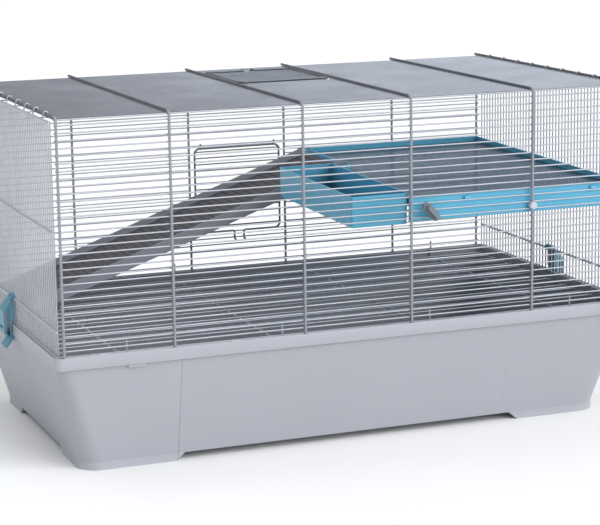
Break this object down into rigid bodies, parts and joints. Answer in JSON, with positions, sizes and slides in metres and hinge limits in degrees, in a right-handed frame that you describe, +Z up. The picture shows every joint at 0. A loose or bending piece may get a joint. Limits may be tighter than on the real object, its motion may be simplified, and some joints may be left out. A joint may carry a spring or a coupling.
{
  "type": "rat cage",
  "caption": "Long wire cage on a deep moulded tray, with a raised platform, a food tub, a ramp, a floor grille, wire doors in the roof and back, and side clips.",
  "frame": {"origin": "the middle of the whole plan, on the surface that the feet stand on; the tray's own middle is 8.3 mm behind it because the turn knob stands out in front", "axes": "+X along the front to the right, +Y to the back, +Z up"},
  "size_m": [0.964, 0.5566, 0.5286],
  "materials": {
    "tray_plastic": "satin moulded",
    "zinc_wire": "bright zinc",
    "grille_wire": "bright zinc",
    "blue_plastic": "glossy moulded",
    "clip_plastic": "satin moulded",
    "smoky_plastic": "smoky see-through",
    "grey_plastic": "satin moulded",
    "white_plastic": "glossy moulded",
    "rail_plastic": "satin moulded",
    "tread_plastic": "ribbed moulded"
  },
  "bodies": {
    "tray": {"base_tray": "tray_plastic"},
    "grille": {"floor_grille": "grille_wire"},
    "wire_top": {"front_panel": "zinc_wire", "roof_panel": "zinc_wire", "back_panel": "zinc_wire", "left_side_panel": "zinc_wire", "right_side_panel": "zinc_wire", "platform_frame": "blue_plastic", "platform_floor": "smoky_plastic", "platform_stud": "white_plastic"},
    "roof_door": {"roof_door": "zinc_wire"},
    "back_door": {"back_door": "zinc_wire"},
    "left_clip": {"left_clip": "clip_plastic"},
    "right_clip": {"right_clip": "clip_plastic"},
    "turn_knob": {"turn_knob": "grey_plastic", "knob_spindle": "grey_plastic", "knob_retainer": "grey_plastic"},
    "food_tub": {"food_tub": "blue_plastic"},
    "ramp": {"ramp_front_rail": "rail_plastic", "ramp_back_rail": "rail_plastic", "ramp_tread": "tread_plastic"}
  },
  "joints": [
    {"name": "top_lift", "type": "slide", "parent": "tray", "child": "wire_top", "axis": [0, 0, 1], "range_m": [0, 0.05]},
    {"name": "grille_lift", "type": "slide", "parent": "tray", "child": "grille", "axis": [0, 0, 1], "range_m": [0, 0.04]},
    {"name": "left_clip_swing", "type": "hinge", "parent": "wire_top", "child": "left_clip", "pos_m": [-0.463, 0.0083, 0.2185], "axis": [0, 1, 0], "range_deg": [0, 100]},
    {"name": "right_clip_swing", "type": "hinge", "parent": "wire_top", "child": "right_clip", "pos_m": [0.463, 0.0083, 0.2185], "axis": [0, -1, 0], "range_deg": [0, 100]},
    {"name": "roof_door_swing", "type": "hinge", "parent": "wire_top", "child": "roof_door", "pos_m": [0, 0.03763, 0.5214], "axis": [1, 0, 0], "range_deg": [0, 140]},
    {"name": "back_door_swing", "type": "hinge", "parent": "wire_top", "child": "back_door", "pos_m": [0, 0.2704, 0.39424], "axis": [1, 0, 0], "range_deg": [0, 140]},
    {"name": "knob_turn", "type": "hinge", "parent": "wire_top", "child": "turn_knob", "pos_m": [0.1187, -0.2783, 0.34582], "axis": [0, 1, 0], "range_deg": [-49, 41]},
    {"name": "tub_lift", "type": "slide", "parent": "wire_top", "child": "food_tub", "axis": [0, 0, 1], "range_m": [0, 0.05]},
    {"name": "ramp_swing", "type": "hinge", "parent": "wire_top", "child": "ramp", "pos_m": [0.12325, 0.0083, 0.3796], "axis": [0, 1, 0], "range_deg": [0, 8]}
  ],
  "couplings": [
    {"joint": "grille_lift", "follows": "top_lift", "ratio": 0.8},
    {"joint": "left_clip_swing", "follows": "top_lift", "rad_per_m": 34.906},
    {"joint": "right_clip_swing", "follows": "top_lift", "rad_per_m": 34.906}
  ]
}
